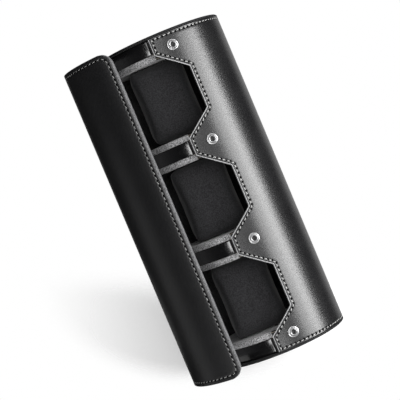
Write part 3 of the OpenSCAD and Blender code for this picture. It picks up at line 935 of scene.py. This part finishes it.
seam_from, seam_to = FLAP_SEAM_IN, FLAP_W - FLAP_SEAM_IN
seam_low, seam_high = FLAP_LOW + FLAP_END_SEAM_IN, FLAP_HIGH - FLAP_END_SEAM_IN
flap_seam, _ = rounded_corners(
    [[seam_from, seam_low], [seam_to, seam_low], [seam_to, seam_high], [seam_from, seam_high]],
    FLAP_CORNER - FLAP_SEAM_IN, 12)
gap = flap_edge_gap(flap_x, flap_zz, FLAP_W, FLAP_CORNER)
seam = along_seam(np.stack([flap_x, flap_zz], -1).reshape(-1, 2), flap_seam)
skin_depth = rolled(np.maximum(gap, 0), FLAP_EDGE_ROLL) + groove(seam[:, 1].reshape(gap.shape))
pocket = np.where(gap < LEATHER_T, SUEDE_BACK, LEATHER_T)
FLAP_LEATHER = leather("flap_leather", (0.0035, 0.0035, 0.004), (0.0065, 0.0065, 0.007), 0.36, 0.85,
                       0.02, FLAP_PITCH)
shell_piece("flap_leather", on_flap(flap_x, flap_zz, skin_depth), on_flap(flap_x, flap_zz, pocket),
            seam, material=FLAP_LEATHER, body="flap", slot="flap_leather", stands_for=["flap_cover"])
dress(GREYBOARD, "flap_board")


def over_flap(flat):
    """Points of the flap's leather over flat points, with the directions across and out."""
    here = on_flap(flat[:, 0], flat[:, 1], SEAM_GROOVE)
    ahead = on_flap(flat[:, 0] + MM, flat[:, 1], SEAM_GROOVE) - here
    across = ahead / np.linalg.norm(ahead, axis=1)[:, None]
    return here, across, np.cross(across, UP)


FLAP_THREAD = thread_material("grey_thread", (0.2, 0.2, 0.195), (0.42, 0.42, 0.41))
stitches("flap_stitches", flap_seam, FLAP_PITCH, over_flap, FLAP_THREAD, "flap", "flap_leather",
         width=FLAP_STITCH_W)


# Grey suede lines the flap. Past the leather it is rolled over, which makes the soft
# pale edge along the free side. Four holes let the studs through.
EDGE_W = 1.3 * MM
SOCKET_HOLE_R = STUD_R + 0.3 * MM
SOCKET_HOLE_RUN = 1.9 * MM
HOLE_STEPS = 32
NOSE_STEPS = 13
NOSE_TOP = 0.75 * LEATHER_T
NOSE_R = 1.6 * MM
NOSE_LEAST = (0.02 * MM, 0.35 * MM)
UNDER_LEATHER = 0.1 * MM
PUNCH_H = (-1.5 * MM, 0.4 * MM)

lining_end = rolled(flap_end_gap, FLAP_CORNER + EDGE_W)[:, None]
nose_end = FLAP_W + EDGE_W - lining_end
nose_w = np.maximum(nose_end - (FLAP_W - cut_back[:, None]), NOSE_LEAST[0])
nose_r = np.minimum(0.95 * nose_w, NOSE_R)
turn = np.radians(np.linspace(-90, 90, NOSE_STEPS))[None]
nose_x = nose_end - nose_r + nose_r * np.cos(turn)
nose_half = np.minimum((FLAP_THICK - NOSE_TOP) / 2, NOSE_LEAST[1] + nose_w)
nose_depth = FLAP_THICK - nose_half - nose_half * np.sin(turn)
inner_x = (nose_end - nose_r) * np.linspace(0, 1, FLAP_STEPS)[None, :-1]
leather_x = FLAP_W - cut_back[:, None] - UNDER_LEATHER
back_x = np.hstack([leather_x, leather_x, leather_x * np.linspace(1, 0, 30)[None, 1:]])
back_depth = np.hstack([nose_depth[:, -1:], np.full_like(back_x[:, 1:], SUEDE_BACK)])
lining_x = np.hstack([inner_x, nose_x, back_x])
end_round = rolled(flap_end_gap, SUEDE_ROLL)[:, None]
lining_depth = np.hstack([FLAP_THICK - end_round + 0 * inner_x,
                          np.minimum(nose_depth, FLAP_THICK - end_round), back_depth])
FLAP_SUEDE = suede("flap_suede", (0.05, 0.05, 0.052), (0.17, 0.17, 0.174), contrast=0.8)
lining = loops_piece("flap_suede_lining", on_flap(lining_x, flap_z[:, None], lining_depth),
                     material=FLAP_SUEDE, body=None, slot="suede_grey", stands_for=["flap_lining"])


def hole_punch():
    """Closed slots through the suede at the snaps: two half circles joined, from inside to outside."""
    half = np.radians(np.linspace(-90, 90, HOLE_STEPS // 2))
    arc = SOCKET_HOLE_R * np.stack([np.cos(half), np.sin(half)], 1)
    ring = np.vstack([arc + [SOCKET_HOLE_RUN, 0], -arc])
    loops = np.stack([np.column_stack([ring, np.full(len(ring), h)]) for h in PUNCH_H])
    faces = np.array(grid_quads(2, len(ring), True))
    points, quads, ends = [], [], []
    for k, z in enumerate(SNAPS_Z):
        points.append(opened(at_snap(FLAP_IN_R + SUEDE_T, z, loops)).reshape(-1, 3))
        quads += (faces + k * 2 * len(ring)).tolist()
        ends += np.arange(k * 2 * len(ring), (k + 1) * 2 * len(ring)).reshape(2, -1).tolist()
    mesh = mesh_of("hole_punch", np.vstack(points), quads + ends)
    cleaned(mesh)
    return placed("hole_punch", mesh)


def applied(thing):
    """Bakes a thing's modifiers into its mesh."""
    bpy.context.view_layer.update()
    made = bpy.data.meshes.new_from_object(thing.evaluated_get(bpy.context.evaluated_depsgraph_get()))
    thing.modifiers.clear()
    thing.data = made


def punched(thing, punch):
    """Cuts the punch's solids out of a piece and drops the punch."""
    cut = thing.modifiers.new("holes", "BOOLEAN")
    cut.operation, cut.solver, cut.object = "DIFFERENCE", "EXACT", punch
    applied(thing)
    bpy.data.objects.remove(punch)
    smoothed(thing)


punched(lining, hole_punch())
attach(lining, "flap")
dress(NICKEL, "snap_sockets", "socket_backs")


# The hinge is one strip of the flap's leather: two rows of stitches hold it to the
# back of the tube, and past them it bends freely over the gap to the flap.
HINGE_WING = 14 * MM
GLUE_T = 0.05 * MM
STRIP_SEAMS = (2.2 * MM, 5.0 * MM)
STRIP_ROLL = 0.35 * MM
STRIP_ROWS_FROM = 2 * MM
STRIP_ROWS = 60
LAST_HOLE_IN = 1.5 * MM
BEND_REACH = 0.8 * HINGE_FREE
strip_r = BODY_R + GLUE_T + LEATHER_T / 2
strip_end_a = HINGE_A - HINGE_FREE / HINGE_R
strip_from_a = strip_end_a - HINGE_WING / BODY_R
wing = polar(strip_r, np.linspace(strip_from_a, strip_end_a, 24), 0)
bend_from, bend_to = wing[-1], opened(polar(FLAP_OUT_R - LEATHER_T / 2, FLAP_START_A, 0))
start_way, end_way = around(strip_end_a), around(FLAP_START_A - FLAP_OPEN)
t = np.linspace(0, 1, 22)[1:, None]
bend = ((1 - t) ** 3 * bend_from + 3 * t * (1 - t) ** 2 * (bend_from + BEND_REACH * start_way)
        + 3 * t ** 2 * (1 - t) * (bend_to - BEND_REACH * end_way) + t ** 3 * bend_to)
strip_line = np.vstack([wing, bend])
strip_way = np.gradient(strip_line, axis=0)
strip_way /= np.linalg.norm(strip_way, axis=1)[:, None]
strip_out = np.stack([strip_way[:, 1], -strip_way[:, 0], 0 * strip_way[:, 0]], 1)
strip_s = np.concatenate([[0], np.cumsum(np.linalg.norm(np.diff(strip_line, axis=0), axis=1))])

strip_ends = roll_steps(STRIP_ROLL, [0, 30, 60, 90])
strip_z = np.unique(np.concatenate([
    FLAP_LOW + strip_ends, FLAP_HIGH - strip_ends,
    np.linspace(FLAP_LOW + STRIP_ROWS_FROM, FLAP_HIGH - STRIP_ROWS_FROM, STRIP_ROWS)]))
strip_end_gap = np.minimum(strip_z - FLAP_LOW, FLAP_HIGH - strip_z)
dip = sum(groove(strip_s - s) for s in STRIP_SEAMS) + rolled(strip_s, STRIP_ROLL)
lift = (LEATHER_T / 2 - dip)[None] - rolled(strip_end_gap, STRIP_ROLL)[:, None]
height = np.stack([0 * strip_z, 0 * strip_z, strip_z], 1)[:, None]
outer = strip_line[None] + strip_out[None] * lift[..., None] + height
inner = (strip_line - strip_out * LEATHER_T / 2)[None] + height
row_gap = np.min([np.abs(strip_s - s) for s in STRIP_SEAMS], 0)[None] + 0 * lift
seam = np.stack([np.broadcast_to(strip_z[:, None], lift.shape), row_gap, 0 * lift], -1).reshape(-1, 3)
strip = shell_piece("hinge_leather", outer, inner, seam, material=FLAP_LEATHER, body=None,
                    slot="flap_leather", stands_for=["hinge_strip"])
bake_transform(strip)


def on_strip(flat):
    """Points of the strip's outside, with the directions across it and out."""
    lines = [np.stack([np.interp(flat[:, 0], strip_s, line[:, k]) for k in range(3)], 1)
             for line in (strip_line, strip_way, strip_out)]
    return lines[0] + lines[2] * (LEATHER_T / 2 - SEAM_GROOVE) + UP * flat[:, 1:], *lines[1:]


first = math.ceil(FLAP_LOW / FLAP_PITCH + 0.5) * FLAP_PITCH
for k, s in enumerate(STRIP_SEAMS, 1):
    row = np.array([[s, first], [s, FLAP_HIGH - LAST_HOLE_IN]])
    stitches(f"hinge_stitches_{k}", row, FLAP_PITCH, on_strip, FLAP_THREAD, "case", "flap_leather",
             width=FLAP_STITCH_W)


# Each cushion is a block of foam in a cover of dark suede, drawn smooth over its corners.
# The foam crowns the front and back, and the walls press both ends flat.
PAD_SWELL = 0.9 * MM
PAD_START_IN = 0.7 * MM
PAD_VOXEL = 0.003
PAD_PRESSURE = 4.0
PAD_FRAMES = 20
PAD_TENSION = 12
PAD_BENDING = 2
PAD_SQUARE = 0.18
PAD_DRAW = 1.3 * MM
PAD_SIDES = 56
PAD_RINGS = 21
PAD_HOLLOW = 1.2 * MM
PAD_CROWN = 1.6 * MM

CUSHION_SUEDE = suede("cushion_suede", (0.007, 0.007, 0.0075), (0.022, 0.022, 0.0235), contrast=0.9,
                      sheen=0.12, depth=0.08)
pad_low, pad_high = (np.array(corner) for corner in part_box("cushion_1_cover"))
pad_half = (pad_high - pad_low) / 2


def pad_rings(h):
    """Squarish oval at heights h from -1 to 1: (a sgn(c)|c|^p, b sgn(s)|s|^p), drawn in at its ends
    as a quarter circle, crowned front and back and hollowed at its sides by cos(90 h)."""
    turn = np.linspace(0, 2 * np.pi, PAD_SIDES, endpoint=False)[None]
    half_h = pad_half[2] - PAD_START_IN
    z = h[:, None] * half_h
    past = np.maximum(0, np.abs(z) - half_h + PAD_DRAW)
    draw = PAD_DRAW - np.sqrt(PAD_DRAW ** 2 - past ** 2)
    middle = np.cos(np.pi / 2 * h)[:, None]
    a = pad_half[0] - PAD_START_IN - draw - PAD_HOLLOW * middle
    b = pad_half[1] - PAD_CROWN - PAD_START_IN - draw + PAD_CROWN * middle
    c, s = np.cos(turn), np.sin(turn)
    return np.stack([a * np.sign(c) * np.abs(c) ** PAD_SQUARE, b * np.sign(s) * np.abs(s) ** PAD_SQUARE,
                     z + 0 * turn], -1)


def swollen(mesh):
    """Cushion blown up as cloth from inside, then pressed flat where the walls hold its ends."""
    thing = placed("cushion_form", mesh)
    voxels = thing.modifiers.new("voxels", "REMESH")
    voxels.mode, voxels.voxel_size, voxels.use_smooth_shade = "VOXEL", PAD_VOXEL, True
    applied(thing)
    start = np.zeros(len(thing.data.vertices) * 3)
    thing.data.vertices.foreach_get("co", start)
    cloth = thing.modifiers.new("cloth", "CLOTH")
    cloth.settings.use_pressure = True
    cloth.settings.uniform_pressure_force = PAD_PRESSURE
    cloth.settings.effector_weights.gravity = 0
    cloth.settings.tension_stiffness = PAD_TENSION
    cloth.settings.bending_stiffness = PAD_BENDING
    cloth.point_cache.frame_start, cloth.point_cache.frame_end = 1, PAD_FRAMES
    for k in range(1, PAD_FRAMES + 1):
        scene.frame_set(k)
    applied(thing)
    scene.frame_set(1)
    end = np.zeros(len(start))
    thing.data.vertices.foreach_get("co", end)
    move = (end - start).reshape(-1, 3)
    far = np.linalg.norm(move, axis=1)[:, None]
    points = start.reshape(-1, 3) + move * np.minimum(1, PAD_SWELL / np.maximum(far, 1e-9))
    points[:, 2] = np.clip(points[:, 2], -pad_half[2], pad_half[2])
    thing.data.vertices.foreach_set("co", points.ravel())
    smooth = thing.modifiers.new("smooth", "SUBSURF")
    smooth.levels = smooth.render_levels = 1
    applied(thing)
    made = thing.data
    bpy.data.objects.remove(thing)
    return made


pad_heights = np.sin(np.linspace(-np.pi / 2, np.pi / 2, PAD_RINGS))
cushion_form = swollen(mesh_of("cushion", pad_rings(pad_heights), closed_faces(PAD_RINGS, PAD_SIDES)))
for i in (1, 2, 3):
    low, high = (np.array(corner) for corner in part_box(f"cushion_{i}_cover"))
    mesh = cushion_form.copy()
    mesh.transform(Matrix.Translation((low + high) / 2))
    pad = finished(placed(f"cushion_{i}_suede", mesh), CUSHION_SUEDE, f"cushion_{i}",
                   [f"cushion_{i}_cover", f"cushion_{i}_foam"], sharp=60)


# White ground under the foot of the leaning case. It takes the soft shadow at the lower
# left and fades out around it. Large soft lamps stand in front and to the right.
GROUND_TILT = math.radians(36)
GROUND_HALF = 0.42
GROUND_LIFT = 0.4
GROUND_WHITE = (0.55, 0.55, 0.55, 1)
SHADOW_MIDDLE = (-0.039, 0.0975)
SHADOW_FADE = (0.1165, 0.144)
SHADOW_TOP = (0.05, 0.091)
SHADOW_LEFT = (0.045, 0.185)

ground_up = math.cos(GROUND_TILT) * upright + math.sin(GROUND_TILT) * Vector((0, -1, 0))
ground_right = looking.cross(ground_up).normalized()
ground_ahead = ground_up.cross(ground_right)
foot_rim = polar(BODY_R, np.radians(np.arange(0, 360, 3)), 0.0)
lowest = min((Vector(point) for point in foot_rim), key=ground_up.dot)


def white_ground(name):
    """Matt white that takes the shadow, with a little light of its own where the camera sees it.

    It fades to nothing round the shadow and past its upper and left ends, and isn't there from
    behind."""
    made, tree, shader, here = material(name, Base_Color=GROUND_WHITE, Roughness=0.9,
                                        Specular_IOR_Level=0.0)
    path = node(tree, "ShaderNodeLightPath")
    seen = maths(tree, "MAXIMUM", path.outputs["Is Camera Ray"], path.outputs["Is Transmission Ray"])
    middle = lowest + SHADOW_MIDDLE[0] * ground_right + SHADOW_MIDDLE[1] * ground_ahead
    away = maths(tree, "DISTANCE", here, middle, kind="VectorMath", gives="Value")
    past = []
    for way, limits in ((ground_ahead, SHADOW_TOP), (-ground_right, SHADOW_LEFT)):
        along = maths(tree, "DOT_PRODUCT", here, way, kind="VectorMath", gives="Value")
        past.append(spread(tree, along, *(limit + lowest.dot(way) for limit in limits)))
    far = maths(tree, "MAXIMUM", spread(tree, away, *SHADOW_FADE), past[0])
    kept = times(tree, maths(tree, "SUBTRACT", 1.0, far), maths(tree, "SUBTRACT", 1.0, past[1]))
    gone = maths(tree, "SUBTRACT", 1.0, kept)
    shader.inputs["Emission Color"].default_value = (1, 1, 1, 1)
    plug(tree, shader.inputs["Emission Strength"], times(tree, seen, GROUND_LIFT))
    back = node(tree, "ShaderNodeNewGeometry").outputs["Backfacing"]
    through = node(tree, "ShaderNodeBsdfTransparent")
    both = node(tree, "ShaderNodeMixShader", Fac=maths(tree, "MAXIMUM", back, gone))
    tree.links.new(shader.outputs[0], both.inputs[1])
    tree.links.new(through.outputs[0], both.inputs[2])
    tree.links.new(both.outputs[0], tree.nodes["Material Output"].inputs["Surface"])
    return made


corners = [tuple(lowest + GROUND_HALF * (a * ground_right + b * ground_ahead))
           for a, b in ((-1, -1), (1, -1), (1, 1), (-1, 1))]
mesh = mesh_of("ground", corners, [(0, 1, 2, 3)])
mesh.materials.append(white_ground("white_ground"))
placed("ground", mesh)

# Name, angle from the front, way out, height, size, radiance and lean of each lamp
LAMPS = [
    ("key_lamp", 66.3, 1.1, 0.05, (0.34, 0.78), 16.5, 13),
    ("fill_lamp", 47.3, 1.15, 0.05, (0.42, 0.78), 9.5, 13),
    ("front_lamp", 12, 1.5, 0.3, (1.6, 2.2), 1.1, 0),
    ("strip_lamp", -22, 1.1, 0.09, (0.17, 0.36), 10, 0),
    ("upper_lamp", -8, 1.1, 0.45, (0.6, 0.2), 5, 0),
    ("lower_lamp", -8, 1.1, -0.27, (0.6, 0.2), 8, 0),
    ("left_lamp", -95, 1.0, -0.2, (0.5, 0.8), 0.45, 0),
    ("bounce_lamp", -50, 0.9, -0.7, (0.8, 0.8), 2.2, 0),
    ("top_lamp", 20, 0.3, 1.2, (0.7, 0.7), 0.8, 0),
]
for name, azimuth, away, height, size, radiance, lean in LAMPS:
    light = bpy.data.lights.new(name, "AREA")
    light.shape = "RECTANGLE"
    light.size, light.size_y = size
    light.energy = radiance * math.pi * light.size * light.size_y
    holder = placed(name, light)
    at = Vector(polar(away, math.radians(azimuth), height))
    aim = Vector((0, 0, CASE_L / 2)) - at
    holder.matrix_world = (Matrix.Translation(at) @ aim.to_track_quat("-Z", "Y").to_matrix().to_4x4()
                           @ Matrix.Rotation(math.radians(lean), 4, "Z"))

GLOW_A = math.radians(165)
GLOW_EDGE = (0.78, 0.9)
ROOM_DARK = (0.02, 0.02, 0.02, 1)
ROOM_GLOW = (0.58, 0.58, 0.58, 1)
world = bpy.data.worlds.new("surround")
scene.world = world
world.use_nodes = True
sky = world.node_tree
seen = node(sky, "ShaderNodeLightPath").outputs["Is Camera Ray"]
toward = maths(sky, "DOT_PRODUCT", node(sky, "ShaderNodeTexCoord").outputs["Generated"],
               polar(1.0, GLOW_A, 0.0), kind="VectorMath", gives="Value")
behind = mixed(sky, spread(sky, toward, *GLOW_EDGE), ROOM_DARK, ROOM_GLOW)
plug(sky, sky.nodes["Background"].inputs["Color"], mixed(sky, seen, behind, (1, 1, 1, 1)))
